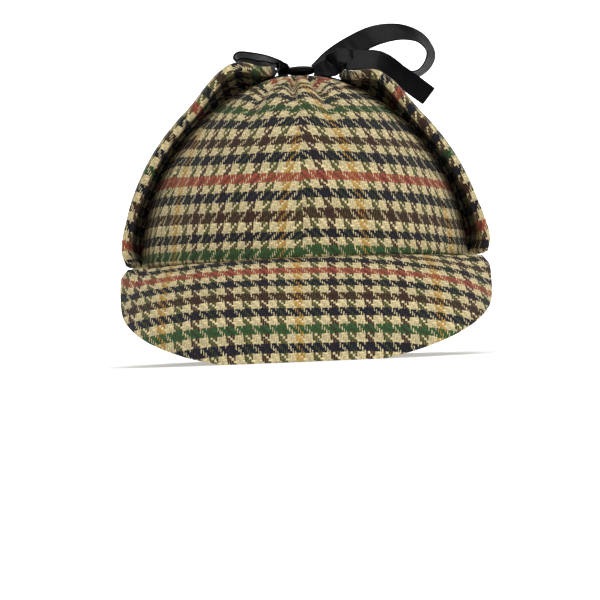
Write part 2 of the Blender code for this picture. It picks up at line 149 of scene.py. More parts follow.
RibbonRow = namedtuple("RibbonRow", "out back up tilt width")
LOOP_TABLE = (
    RibbonRow(out=0.00, back=0.08, up=-0.06, tilt=50, width=0.40),
    RibbonRow(out=0.14, back=0.34, up=0.24, tilt=52, width=0.85),
    RibbonRow(out=0.32, back=0.44, up=0.58, tilt=54, width=1.00),
    RibbonRow(out=0.52, back=0.46, up=0.88, tilt=52, width=1.00),
    RibbonRow(out=0.72, back=0.48, up=0.96, tilt=42, width=1.00),
    RibbonRow(out=0.88, back=0.50, up=0.80, tilt=30, width=1.00),
    RibbonRow(out=0.965, back=0.52, up=0.48, tilt=22, width=1.00),
    RibbonRow(out=0.98, back=0.58, up=0.20, tilt=20, width=1.00),
    RibbonRow(out=0.93, back=0.66, up=-0.12, tilt=14, width=1.00),
    RibbonRow(out=0.84, back=0.72, up=-0.28, tilt=6, width=1.00),
    RibbonRow(out=0.66, back=0.74, up=-0.12, tilt=-10, width=1.00),
    RibbonRow(out=0.42, back=0.74, up=0.08, tilt=-16, width=1.00),
    RibbonRow(out=0.18, back=0.66, up=0.06, tilt=-16, width=0.80),
    RibbonRow(out=0.00, back=0.32, up=-0.10, tilt=-16, width=0.35),
)
SHORT_LOOP_TABLE = (
    RibbonRow(out=0.00, back=0.10, up=-0.75, tilt=-50, width=0.42),
    RibbonRow(out=0.09, back=0.14, up=-0.20, tilt=-42, width=0.66),
    RibbonRow(out=0.20, back=0.18, up=1.10, tilt=-14, width=0.66),
    RibbonRow(out=0.40, back=0.20, up=1.90, tilt=-8, width=0.90),
    RibbonRow(out=0.65, back=0.16, up=2.30, tilt=-10, width=1.00),
    RibbonRow(out=0.92, back=0.12, up=2.60, tilt=-10, width=1.00),
    RibbonRow(out=1.00, back=0.12, up=1.80, tilt=-8, width=1.00),
    RibbonRow(out=0.92, back=0.12, up=0.90, tilt=8, width=1.00),
    RibbonRow(out=0.65, back=0.16, up=0.90, tilt=10, width=1.00),
    RibbonRow(out=0.40, back=0.14, up=0.70, tilt=8, width=0.95),
    RibbonRow(out=0.20, back=0.12, up=0.10, tilt=8, width=0.70),
    RibbonRow(out=0.09, back=0.12, up=-0.90, tilt=36, width=0.66),
    RibbonRow(out=0.00, back=0.10, up=-1.10, tilt=45, width=0.45),
)
TAIL_TABLE = (
    RibbonRow(out=0.00, back=-0.10, up=-0.75, tilt=50, width=0.45),
    RibbonRow(out=0.14, back=-0.24, up=-0.25, tilt=52, width=0.95),
    RibbonRow(out=0.34, back=-0.34, up=0.40, tilt=52, width=1.00),
    RibbonRow(out=0.50, back=-0.38, up=0.10, tilt=50, width=1.00),
    RibbonRow(out=0.66, back=-0.38, up=-0.90, tilt=50, width=1.00),
    RibbonRow(out=0.82, back=-0.38, up=-2.50, tilt=52, width=1.00),
    RibbonRow(out=0.97, back=-0.38, up=-4.10, tilt=54, width=0.95),
)

# How each gore's cloth was cut. turn is the gore's middle, mirror turns the twill the other way,
# column and row are the counts of the check at the gore's middle and at the rim, and skew is how
# far the rows climb towards +X, in rows for each column.
GoreCloth = namedtuple("GoreCloth", "turn mirror column row skew")
GORE_CLOTHS = (
    GoreCloth(turn=-30, mirror=1, column=4.05, row=0.08, skew=0.024),
    GoreCloth(turn=30, mirror=-1, column=-1.55, row=0.32, skew=0.051),
    GoreCloth(turn=90, mirror=-1, column=1.94, row=0.63, skew=0.0),
    GoreCloth(turn=150, mirror=-1, column=2.5, row=0.3, skew=0.0),
    GoreCloth(turn=210, mirror=1, column=5.1, row=0.0, skew=0.0),
    GoreCloth(turn=270, mirror=1, column=-0.44, row=-0.07, skew=0.0),
)

# Rows of the check counted up a gore from the rim, at lengths along it in metres
RowMark = namedtuple("RowMark", "length row")
ROW_MARKS = (
    RowMark(length=-0.0100, row=-1.00),
    RowMark(length=0.0027, row=0.25),
    RowMark(length=0.0104, row=1.25),
    RowMark(length=0.0206, row=2.25),
    RowMark(length=0.0309, row=3.25),
    RowMark(length=0.0404, row=4.25),
    RowMark(length=0.0524, row=5.25),
    RowMark(length=0.0622, row=6.25),
    RowMark(length=0.0760, row=7.25),
    RowMark(length=0.0873, row=8.25),
    RowMark(length=0.0999, row=9.25),
    RowMark(length=0.1083, row=10.25),
    RowMark(length=0.1139, row=11.25),
    RowMark(length=0.1272, row=12.25),
    RowMark(length=0.1600, row=15.50),
)

# Colours of the yarns, as red, green and blue from 0 to 255 on a screen
YARNS = {
    "cream": (236, 217, 166),
    "navy": (26, 31, 44),
    "brown": (70, 47, 38),
    "green": (54, 90, 52),
    "olive": (84, 86, 46),
    "red": (172, 84, 66),
    "ochre": (205, 160, 78),
}
COLUMN_YARNS = ("ochre", "olive", "brown", "olive", "brown", "olive", "brown", "olive")
ROW_YARNS = ("green", "navy", "brown", "navy", "red", "navy", "brown", "navy")


def read_table(rows, column, at):
    """A column of a table at places between its rows, on a smooth curve through them."""
    places = np.array([row[0] for row in rows], float)
    values = np.array([getattr(row, column) for row in rows], float)
    return smooth_value(places, values, at)


def smooth_value(places, values, at):
    places = np.asarray(places, float)
    values = np.asarray(values, float)
    last = len(places) - 1
    at = np.clip(at, places[0], places[last])
    span = np.clip(np.searchsorted(places, at, side="left") - 1, 0, last - 1)
    before = np.maximum(np.arange(last + 1) - 1, 0)
    after = np.minimum(np.arange(last + 1) + 1, last)
    slopes = (values[after] - values[before]) / (places[after] - places[before])
    step = places[span + 1] - places[span]
    share = (at - places[span]) / step
    start = (1 + 2 * share) * (1 - share) ** 2 * values[span]
    start = start + share * (1 - share) ** 2 * step * slopes[span]
    end = share**2 * (3 - 2 * share) * values[span + 1]
    return start + end + share**2 * (share - 1) * step * slopes[span + 1]


def smoothstep(low, high, value):
    share = np.clip((value - low) / (high - low), 0.0, 1.0)
    return share * share * (3 - 2 * share)


def turn_difference(first, second):
    """The angle between two turns, in degrees, from -180 to 180."""
    return (first - second + 180.0) % 360.0 - 180.0


def crown_dent(turn, climb):
    """How deep the surface lies under the plain dome. turn in degrees, climb in radians."""
    radius = 0.25 * (HEAD_WIDTH + HEAD_LENGTH) * np.cos(climb)
    dent = np.zeros(np.broadcast(turn, climb).shape)
    for gore in range(GORES):
        aside = np.radians(np.abs(turn_difference(turn, gore * 360.0 / GORES))) * radius
        dent = dent + SEAM_DEPTH * np.exp(-((2 * aside / SEAM_WIDTH) ** 2)) * np.cos(climb)
    share = climb / math.radians(90)
    for pucker in PUCKERS:
        fade = smoothstep(pucker.start, PUCKER_FADE_IN_END, share)
        fade = fade * (1 - smoothstep(*PUCKER_FADE_OUT, share))
        place = pucker.turn + pucker.lean * (share - 0.5)
        across = turn_difference(turn, place) / pucker.width
        dent = dent + PUCKER_DEPTH * pucker.depth * fade * np.exp(-(across**2))
    return dent


def dome_profile(climb):
    """Level and rising shares of the dome's section. It is a little straighter than a circle."""
    return np.cos(climb) ** CROWN_SLOPE, np.sin(climb) ** CROWN_SLOPE


def crown_points(turn, climb, inset):
    """Points of the crown, inset from its outer face. turn in degrees, climb in radians."""
    angle = np.radians(turn)
    level, rise = dome_profile(np.clip(climb, 0.0, math.radians(90)))
    out = np.stack(
        [
            (HEAD_WIDTH / 2 + CROWN_WALL - inset) * level * np.sin(angle),
            -(HEAD_LENGTH / 2 + CROWN_WALL - inset) * level * np.cos(angle),
            (CROWN_HEIGHT - inset) * rise,
        ],
        axis=-1,
    )
    length = np.linalg.norm(out, axis=-1)
    out = out * (1 - crown_dent(turn, climb) / length)[..., None]
    return out + np.array([0, 0, PEAK_DROP])


def crown_top(x, y):
    """The height of the plain dome above points."""
    across = x / (HEAD_WIDTH / 2 + CROWN_WALL)
    along = y / (HEAD_LENGTH / 2 + CROWN_WALL)
    inside = np.maximum(0.0, 1 - (across**2 + along**2) ** (1 / CROWN_SLOPE))
    return PEAK_DROP + CROWN_HEIGHT * inside ** (CROWN_SLOPE / 2)


def flap_stand_off(flap, along):
    """The clear space under a flap, down to the room that its sewn tie needs at its tip."""
    plain = read_table(FLAP_ROWS_TABLE, "stand_off", along)
    arched = FLAP_STAND_OFF * (plain + (flap.bulge - plain) * smoothstep(*FLAP_ARCH_FADE, along))
    tie_room = RIBBON_WALL + GAP
    return arched + (tie_room - arched) * smoothstep(*FLAP_TIP_FADE, along)


def flap_points(flap, along, across, offset=0.0):
    """Points of a flap's middle surface, or offset outwards from it. across is -1 at its front."""
    stand_off = flap_stand_off(flap, along)
    stand_off = stand_off * (1 - FLAP_REAR_REST * smoothstep(*FLAP_REAR_FADE, across))
    corner = np.maximum(0.0, -across) ** 3 * np.exp(-along / FLAP_CORNER_DECAY)
    stand_off = stand_off + FLAP_CORNER_FLARE * flap.corner * corner
    stand_off = stand_off + GAP + FLAP_WALL / 2 + offset
    half_width = HEAD_WIDTH / 2 + CROWN_WALL + stand_off
    half_length = (HEAD_LENGTH / 2 + CROWN_WALL) * FLAP_FLATNESS + stand_off
    rise = CROWN_HEIGHT + stand_off
    tip = KNOT_OFFSET + flap.side * TIP_DISTANCE * flap.tip_distance
    first = np.arcsin(((GAP + FLAP_WALL / 2) / rise) ** (1 / CROWN_SLOPE))
    final = np.arccos((flap.side * tip / half_width) ** (1 / CROWN_SLOPE))
    level, up = dome_profile(first + (final - first) * along)
    y = across * FLAP_WIDTH / 2 * read_table(FLAP_ROWS_TABLE, "width", along)
    bend = np.sqrt(1 - (y / half_length) ** 2)
    return np.stack([flap.side * half_width * bend * level, y, PEAK_DROP + rise * bend * up], -1)


def peak_edge_height(share):
    """Height of a peak's lower edge, at shares of the way from its middle to its end."""
    height = PEAK_END_HEIGHT * np.abs(share) ** PEAK_EDGE_CURVE - PEAK_FOOT
    height = height + PEAK_SKEW * np.sin(math.pi * share)
    return height + PEAK_END_ROUND * smoothstep(*PEAK_END_FADE, np.abs(share)) ** 2


def peak_points(share, down, facing):
    """Points of a peak's middle surface, from its root under the rim to its lower edge."""
    turn = math.radians(PEAK_SPAN_DEG) * share
    side = np.sin(turn)
    front = np.cos(turn)
    root_height = PEAK_DROP - GAP - PEAK_WALL * PEAK_ROOT_SINK
    root = np.stack(
        [
            (HEAD_WIDTH + CROWN_WALL) / 2 * side,
            (HEAD_LENGTH + CROWN_WALL) / 2 * front,
            np.full(side.shape, root_height),
        ],
        -1,
    )
    swing = np.sin(math.radians(90) * share)
    squared = np.maximum(0.0, 1 - np.abs(swing) ** PEAK_SQUARENESS) ** (1 / PEAK_SQUARENESS)
    depth = HEAD_LENGTH / 2 + CROWN_WALL + PEAK_REACH - PEAK_END_SETBACK
    edge = np.stack(
        [
            (HEAD_WIDTH / 2 + CROWN_WALL + PEAK_SIDE_REACH) * swing,
            PEAK_END_SETBACK + depth * squared,
            peak_edge_height(share),
        ],
        -1,
    )
    run = edge - root
    level = run * np.array([1, 1, 0])
    level = level / np.linalg.norm(level, axis=-1, keepdims=True)
    reach = np.sum(run * level, axis=-1, keepdims=True)
    upward = level * -run[..., 2:] + np.array([0, 0, 1]) * reach
    upward = upward / np.linalg.norm(upward, axis=-1, keepdims=True)
    swell = PEAK_BULGE * np.sin(math.pi * down**PEAK_BULGE_EASE)
    points = root + run * down[..., None] + upward * swell[..., None]
    return points * np.array([1, facing, 1])


CREST_POINTS = 41


def top_surface(x):
    """The height of what a ribbon can lie on at x: the crown, or a flap's outer face."""
    height = float(crown_top(x, 0.0))
    steps = np.linspace(0, 1, CREST_POINTS)
    for flap in FLAPS:
        crest = flap_points(flap, steps, np.zeros(CREST_POINTS), FLAP_WALL / 2)
        tip = crest[-1, 0] - flap.side * FLAP_WALL / 2
        if (x - tip) * flap.side < 0:
            continue
        order = np.argsort(crest[:, 0])
        if crest[order[0], 0] <= x <= crest[order[-1], 0]:
            height = max(height, float(np.interp(x, crest[order, 0], crest[order, 2])))
        if abs(x - crest[-1, 0]) <= FLAP_WALL / 2:
            height = max(height, float(crest[-1, 2]))
    return height


def knot_middle():
    return PEAK_DROP + CROWN_HEIGHT + GAP + KNOT_HEIGHT / 2


def ribbon_grid(table, rows, columns, side, reach, rise, base):
    """Middle points of a ribbon beside the knot. It is lifted where it would cut what is below."""
    start = KNOT_OFFSET + side * (KNOT_WIDTH / 2 + GAP + RIBBON_WALL / 2)
    numbers = np.arange(len(table))
    stations = np.linspace(0, len(table) - 1, rows + 1)
    values = {
        name: smooth_value(numbers, [getattr(row, name) for row in table], stations)
        for name in RibbonRow._fields
    }
    out = start + side * reach * values["out"]
    line = np.stack([out, RIBBON_WIDTH * values["back"], base + rise * values["up"]], -1)
    tilt = np.radians(values["tilt"])
    half = RIBBON_WIDTH * values["width"] / 2
    for row in range(rows + 1):
        below = max(top_surface(line[row, 0] + near * FLAP_WALL / 4) for near in (-1, 0, 1))
        resting = below + GAP + RIBBON_WALL / 2 + RIBBON_REST * abs(math.sin(tilt[row])) * half[row]
        line[row, 2] = max(line[row, 2], resting)
    run = np.gradient(line, axis=0)
    level = np.hypot(run[:, 0], run[:, 2])
    across = np.stack(
        [
            -side * np.sin(tilt) * run[:, 2] / level,
            np.cos(tilt),
            side * np.sin(tilt) * run[:, 0] / level,
        ],
        -1,
    )
    places = np.linspace(-1, 1, columns + 1)
    return line[:, None] + places[None, :, None] * (across * half[:, None])[:, None]


# Meshes

MERGE_DISTANCE = 2e-6
FLAT_EDGE_LENGTH = 1e-7
EDGE_STEPS = 6
Patch = namedtuple("Patch", "points uvs")


def build_mesh(name, patches, material):
    """One closed mesh from patches of points, each with its own cloth coordinates."""
    vertices = []
    faces = []
    corners = []
    for patch in patches:
        rows, columns = patch.points.shape[:2]
        first = len(vertices)
        vertices.extend(patch.points.reshape(-1, 3).tolist())
        uvs = patch.uvs.reshape(-1, 2)
        for row in range(rows - 1):
            for column in range(columns - 1):
                here = row * columns + column
                quad = (here, here + 1, here + columns + 1, here + columns)
                faces.append([first + index for index in quad])
                corners.extend(uvs[list(quad)].tolist())
    mesh = bpy.data.meshes.new(name)
    mesh.from_pydata(vertices, [], faces)
    layer = mesh.uv_layers.new(name="cloth")
    layer.data.foreach_set("uv", np.array(corners, np.float32).ravel())
    builder = bmesh.new()
    builder.from_mesh(mesh)
    bmesh.ops.remove_doubles(builder, verts=builder.verts, dist=MERGE_DISTANCE)
    bmesh.ops.dissolve_degenerate(builder, edges=builder.edges, dist=FLAT_EDGE_LENGTH)
    bmesh.ops.recalc_face_normals(builder, faces=builder.faces)
    builder.to_mesh(mesh)
    builder.free()
    mesh.shade_smooth()
    mesh.materials.append(material)
    thing = bpy.data.objects.new(name, mesh)
    bpy.context.scene.collection.objects.link(thing)
    return thing


def grid_normals(grid):
    along = np.gradient(grid, axis=0)
    across = np.gradient(grid, axis=1)
    normals = np.cross(along, across)
    return normals / np.maximum(np.linalg.norm(normals, axis=-1, keepdims=True), 1e-12)


def border_line(grid):
    """The border of a grid in order, and the points one step further in."""
    inner = grid[1:-1, 1:-1]
    rim = [grid[0, :-1], grid[:-1, -1], grid[-1, :0:-1], grid[:0:-1, 0]]
    first_in = np.concatenate([inner[0, :1], inner[0], inner[0, -1:]])
    last_in = np.concatenate([inner[-1, :1], inner[-1], inner[-1, -1:]])
    right_in = np.concatenate([inner[:1, -1], inner[:, -1], inner[-1:, -1]])
    left_in = np.concatenate([inner[:1, 0], inner[:, 0], inner[-1:, 0]])
    inward = [first_in[:-1], right_in[:-1], last_in[:0:-1], left_in[:0:-1]]
    return np.concatenate(rim), np.concatenate(inward)


def padded_patches(grid, uvs, wall, steps=EDGE_STEPS, limits=(None, None)):
    """Patches of a closed sheet, wall thick, round a grid of middle points.

    Its border is rounded in steps. limits are the lowest and highest height that it may reach.
    """
    normals = grid_normals(grid)
    outer = Patch(grid + normals * wall / 2, uvs)
    inner = Patch(grid - normals * wall / 2, uvs)
    rim, inward = border_line(grid)
    rim_normals, _ = border_line(normals)
    rim_uvs, inward_uvs = border_line(uvs)
    outward = rim - inward
    distance = np.linalg.norm(outward, axis=-1, keepdims=True)
    outward = outward / np.maximum(distance, 1e-9)
    outward = outward - rim_normals * np.sum(outward * rim_normals, -1, keepdims=True)
    outward = outward / np.maximum(np.linalg.norm(outward, axis=-1, keepdims=True), 1e-9)
    stretch = (rim_uvs - inward_uvs) / np.maximum(distance, 1e-9)
    angles = np.linspace(math.pi / 2, -math.pi / 2, steps + 1)
    points = []
    cloth = []
    for angle in angles:
        raised = rim_normals * math.sin(angle) + outward * math.cos(angle)
        points.append(rim + raised * wall / 2)
        cloth.append(rim_uvs + stretch * (math.pi / 2 - angle) * wall / 2)
    points = np.array(points)
    cloth = np.array(cloth)
    points = np.concatenate([points, points[:, :1]], axis=1)
    cloth = np.concatenate([cloth, cloth[:, :1]], axis=1)
    patches = [outer, inner, Patch(points, cloth)]
    low, high = limits
    for patch in patches:
        if low is not None:
            patch.points[..., 2] = np.maximum(patch.points[..., 2], low)
        if high is not None:
            patch.points[..., 2] = np.minimum(patch.points[..., 2], high)
    return patches


def arc_lengths(points, axis):
    """Lengths along lines of points, from their first point."""
    steps = np.linalg.norm(np.diff(points, axis=axis), axis=-1)
    shape = list(steps.shape)
    shape[axis] = 1
    return np.concatenate([np.zeros(shape), np.cumsum(steps, axis=axis)], axis=axis)


# Crown

GORE_COLUMNS = 56
CROWN_RINGS = 120
RIM_STEPS = 8
STEEPEST_SEAM = 2.0


def gore_patches(cloth):
    """The outer face, rolled rim and inner face of one gore."""
    half_span = 180.0 / GORES
    share = np.linspace(-1, 1, GORE_COLUMNS + 1)
    crowded = (share + np.sin(math.radians(90) * share)) / 2
    turn = cloth.turn + half_span * crowded
    rim_radius = CROWN_WALL / 2
    first = (rim_radius / CROWN_HEIGHT) ** (1 / CROWN_SLOPE)
    climb = np.linspace(math.asin(first), math.radians(90), CROWN_RINGS + 1)
    turns, climbs = np.meshgrid(turn, climb)
    outer = crown_points(turns, climbs, 0.0)
    inner = crown_points(turns, climbs, CROWN_WALL)
    middle = (outer[0] + inner[0]) / 2
    across = (outer[0] - inner[0]) / 2
    angles = np.linspace(0, math.pi, RIM_STEPS + 1)
    drop = np.array([0, 0, -rim_radius])
    roll = np.array([middle + across * math.cos(a) + drop * math.sin(a) for a in angles])
    whole = np.concatenate([roll[::-1][:-1], outer])
    lengths = arc_lengths(whole, 0) - math.pi * rim_radius
    ring = arc_lengths(outer[:1], 1)[0]
    ring = (ring - ring[GORE_COLUMNS // 2])[None, :]
    level = dome_profile(np.concatenate([np.full(RIM_STEPS, climb[0]), climb]))[0][:, None]
    aside = ring * level / level[0]
    half_width = np.abs(aside[:, -1:])
    narrowing = np.gradient(half_width[:, 0], lengths[:, GORE_COLUMNS // 2])
    step = np.gradient(lengths[:, GORE_COLUMNS // 2])
    slope = np.minimum(np.abs(narrowing), STEEPEST_SEAM)
    seam_rise = np.cumsum((np.sqrt(1 + slope**2) - 1) * step)[:, None]
    length = lengths - seam_rise * (aside / np.maximum(half_width, 1e-4)) ** 2
    columns = cloth.mirror * aside / CHECK_COLUMN + cloth.column
    rows = read_table(ROW_MARKS, "row", length) + cloth.row + cloth.skew * aside / CHECK_COLUMN
    uvs = np.stack([columns, rows], -1)
    inner_uvs = np.stack([columns[RIM_STEPS:], rows[RIM_STEPS:]], -1)
    return [Patch(whole, uvs), Patch(inner, inner_uvs)]


def add_crown(material):
    patches = []
    for cloth in GORE_CLOTHS:
        patches.extend(gore_patches(cloth))
    return build_mesh("crown_cloth", patches, material)


# Peaks

PEAK_COLUMNS = 180
PEAK_ROWS = 36

# How each peak's cloth was cut. The twill turns with mirror, and its ochre column and its rows lie
# moved by middle, in metres, and by row, in rows.
PeakCloth = namedtuple("PeakCloth", "name node facing mirror middle row")
PEAK_CLOTHS = (
    PeakCloth("front_peak_cloth", "front_peak", -1, -1, -0.0036, 0.0),
    PeakCloth("back_peak_cloth", "back_peak", 1, 1, 0.0052, -2.3),
)
PEAK_COLUMN = 0.0078
PEAK_COLUMN_SPREAD = 12.7

# Rows of the check over a flat peak: sums of an amount times powers of its two coordinates, as
# shares of the span and of the drop of the table
PEAK_ROW_SPAN = 0.08
PEAK_ROW_DROP = 0.05
RowTerm = namedtuple("RowTerm", "across down amount")
PEAK_ROW_TERMS = (
    RowTerm(across=0, down=0, amount=5.549),
    RowTerm(across=0, down=1, amount=6.451),
    RowTerm(across=0, down=2, amount=0.696),
    RowTerm(across=1, down=0, amount=0.620),
    RowTerm(across=1, down=1, amount=0.392),
    RowTerm(across=2, down=0, amount=-1.952),
    RowTerm(across=2, down=1, amount=-1.433),
)


def unroll(root, edge):
    """The flat places of a strip between two lines, laid out from its middle both ways.

    The middle line of the strip lies along the second flat axis, with its root end at 0.
    """
    count = len(root)
    middle = count // 2
    flat_root = np.zeros((count, 2))
    flat_edge = np.zeros((count, 2))
    flat_edge[middle] = (0.0, -np.linalg.norm(edge[middle] - root[middle]))

    def third_corner(first, second, flat_first, flat_second, point, side):
        base = np.linalg.norm(second - first)
        near = np.linalg.norm(point - first)
        far = np.linalg.norm(point - second)
        along = (near**2 - far**2 + base**2) / (2 * base)
        height = math.sqrt(max(near**2 - along**2, 0.0))
        axis = (flat_second - flat_first) / np.linalg.norm(flat_second - flat_first)
        normal = np.array([-axis[1], axis[0]]) * side
        return flat_first + axis * along + normal * height

    for direction in (1, -1):
        stop = count if direction > 0 else -1
        for index in range(middle + direction, stop, direction):
            last = index - direction
            flat_edge[index] = third_corner(
                root[last], edge[last], flat_root[last], flat_edge[last], edge[index], direction
            )
            flat_root[index] = third_corner(
                root[last], edge[index], flat_root[last], flat_edge[index], root[index], direction
            )
    return flat_root, flat_edge


def add_peak(cloth, material):
    share = np.linspace(-1, 1, PEAK_COLUMNS + 1)
    down = np.linspace(0, 1, PEAK_ROWS + 1)
    shares, downs = np.meshgrid(share, down)
    grid = peak_points(shares, downs, cloth.facing)
    flat_root, flat_edge = unroll(grid[0], grid[-1])
    slack = arc_lengths(grid, 0)[-1] / np.linalg.norm(grid[-1] - grid[0], axis=-1)
    flat_edge = flat_root + (flat_edge - flat_root) * slack[:, None]
    flat = flat_root + (flat_edge - flat_root) * downs[..., None]
    aside = flat[..., 0] - cloth.middle
    columns = cloth.mirror * aside / (PEAK_COLUMN * (1 + PEAK_COLUMN_SPREAD * aside**2)) + 0.25
    rows = np.full(aside.shape, cloth.row)
    for term in PEAK_ROW_TERMS:
        across = (flat[..., 0] / PEAK_ROW_SPAN) ** term.across
        rows = rows + term.amount * across * (flat[..., 1] / PEAK_ROW_DROP) ** term.down
    uvs = np.stack([columns, rows], -1)
    limits = (0.0, PEAK_DROP - GAP)
    patches = padded_patches(grid, uvs, PEAK_WALL, limits=limits)
    return build_mesh(cloth.name, patches, material)


# Ear flaps

FLAP_COLUMNS = 60
FLAP_ROWS = 150
FlapCloth = namedtuple("FlapCloth", "mirror column row")
FLAP_CLOTHS = {
    "ear_flap_left": FlapCloth(mirror=1, column=0.3, row=3.3),
    "ear_flap_right": FlapCloth(mirror=-1, column=0.8, row=3.0),
}


def add_flap(flap, material):
    cloth = FLAP_CLOTHS[flap.name]
    alongs, acrosses = np.meshgrid(
        np.linspace(0, 1, FLAP_ROWS + 1), np.linspace(-1, 1, FLAP_COLUMNS + 1), indexing="ij"
    )
    grid = flap_points(flap, alongs, acrosses)
    middle = FLAP_COLUMNS // 2
    lengths = arc_lengths(grid, 0)[:, middle : middle + 1]
    aside = arc_lengths(grid, 1)
    aside = aside - aside[:, middle : middle + 1]
    columns = cloth.mirror * aside / CHECK_COLUMN + cloth.column
    rows = np.broadcast_to(lengths / CHECK_ROW + cloth.row, aside.shape)
    uvs = np.stack([columns, rows], -1)
    limits = (PEAK_DROP + GAP, None)
    patches = padded_patches(grid, uvs, FLAP_WALL, limits=limits)
    return build_mesh(flap.name + "_cloth", patches, material)


# Ribbon bow

LOOP_ROWS = 180
TAIL_ROWS = 80
TIE_ROWS = 24
RIBBON_COLUMNS = 12
SATIN_WALL = 0.0007
SATIN_EDGE_STEPS = 4
SATIN_KNOT_WIDTH = 0.0135
SATIN_KNOT_HEIGHT = 0.0048
KNOT_BLUNTNESS = 0.35
KNOT_CREASES = 11
KNOT_CREASE_DEPTH = 0.05
KNOT_TURN_POINTS = 65
KNOT_TILT_POINTS = 33

# How each ribbon is held, and what it rests on
RibbonLie = namedtuple("RibbonLie", "held rests_on")


def ribbon_uvs(grid):
    """Cloth coordinates of a ribbon in metres: across it, and along it."""
    lengths = arc_lengths(grid, 0)
    across = np.linspace(-0.5, 0.5, grid.shape[1]) * RIBBON_WIDTH
    return np.stack([np.broadcast_to(across, lengths.shape), lengths], -1)


def add_ribbon(name, grid, material):
    patches = padded_patches(grid, ribbon_uvs(grid), SATIN_WALL, steps=SATIN_EDGE_STEPS)
    return build_mesh(name, patches, material)


def lying_grid(points_x, points_y):
    height = crown_top(points_x, points_y) + GAP + RIBBON_WALL / 2
    return np.stack([points_x, points_y, height], -1)


def tie_grid(flap):
    """The tie sewn under a flap's tip, which lies on the crown up to the knot."""
    start = KNOT_OFFSET + flap.side * (KNOT_WIDTH / 2 + GAP + RIBBON_WALL / 2)
    end = KNOT_OFFSET + flap.side * (TIP_DISTANCE * flap.tip_distance + TIE_LAP)
    x, y = np.meshgrid(
        np.linspace(start, end, TIE_ROWS + 1),
        np.linspace(-TIE_WIDTH / 2, TIE_WIDTH / 2, RIBBON_COLUMNS + 1),
        indexing="ij",
    )
    return lying_grid(x, y)


def back_tail_grid():
    """The second tail lies down the back of the crown, behind the knot."""
    share, across = np.meshgrid(
        np.linspace(0, 1, TAIL_ROWS + 1), np.linspace(-1, 1, RIBBON_COLUMNS + 1), indexing="ij"
    )
    opened = smoothstep(*BACK_TAIL_PINCH_FADE, share)
    half = RIBBON_WIDTH / 2 * (BACK_TAIL_PINCH + (1 - BACK_TAIL_PINCH) * opened)
    x = KNOT_OFFSET - BACK_TAIL_LEAN * share + across * half
    y = KNOT_DEPTH / 2 + GAP + RIBBON_WALL / 2 + BACK_TAIL_LENGTH * share
    return lying_grid(x, y)


def add_knot(material):
    """The pinched knot, with blunt ends and the creases of its band from front to back."""
    turns, tilts = np.meshgrid(
        np.linspace(0, 2 * math.pi, KNOT_TURN_POINTS), np.linspace(0, math.pi, KNOT_TILT_POINTS)
    )
    swell = np.sin(tilts) ** KNOT_BLUNTNESS
    middle = knot_middle() - (KNOT_HEIGHT - SATIN_KNOT_HEIGHT) / 2
    depth = KNOT_CREASE_DEPTH * np.sin(tilts) ** 2
    creases = swell * (1 + depth * np.cos(KNOT_CREASES * turns))
    points = np.stack(
        [
            KNOT_OFFSET + SATIN_KNOT_WIDTH / 2 * np.cos(tilts),
            KNOT_DEPTH / 2 * np.cos(turns) * creases,
            middle + SATIN_KNOT_HEIGHT / 2 * np.sin(turns) * creases,
        ],
        -1,
    )
    uvs = np.stack([tilts * KNOT_WIDTH / 2, turns * KNOT_HEIGHT], -1)
    return build_mesh("ribbon_knot_satin", [Patch(points, uvs)], material)


def add_bow(material):
    base = knot_middle() + KNOT_HEIGHT * BOW_LIFT
    loop = ribbon_grid(LOOP_TABLE, LOOP_ROWS, RIBBON_COLUMNS, 1, LOOP_REACH, LOOP_RISE, base)
    short = ribbon_grid(
        SHORT_LOOP_TABLE, LOOP_ROWS, RIBBON_COLUMNS, -1, SHORT_LOOP_REACH, SHORT_LOOP_THICKNESS, base
    )
    tail = ribbon_grid(TAIL_TABLE, TAIL_ROWS, RIBBON_COLUMNS, 1, TAIL_REACH, TAIL_RISE, base)
    grids = {
        "ribbon_loop_right": loop,
        "ribbon_loop_left": short,
        "ribbon_tail_right": tail,
        "ribbon_tail_back": back_tail_grid(),
    }
    for flap in FLAPS:
        grids[flap.name.replace("ear_flap", "ribbon_tie")] = tie_grid(flap)
    pieces = {"ribbon_knot": add_knot(material)}
    for name, grid in grids.items():
        pieces[name] = add_ribbon(name + "_satin", grid, material)
    return pieces


# Materials


def linear(color):
    """A screen colour from 0 to 255 as linear light."""
    shares = [channel / 255 for channel in color]
    return tuple(s / 12.92 if s <= 0.04045 else ((s + 0.055) / 1.055) ** 2.4 for s in shares)


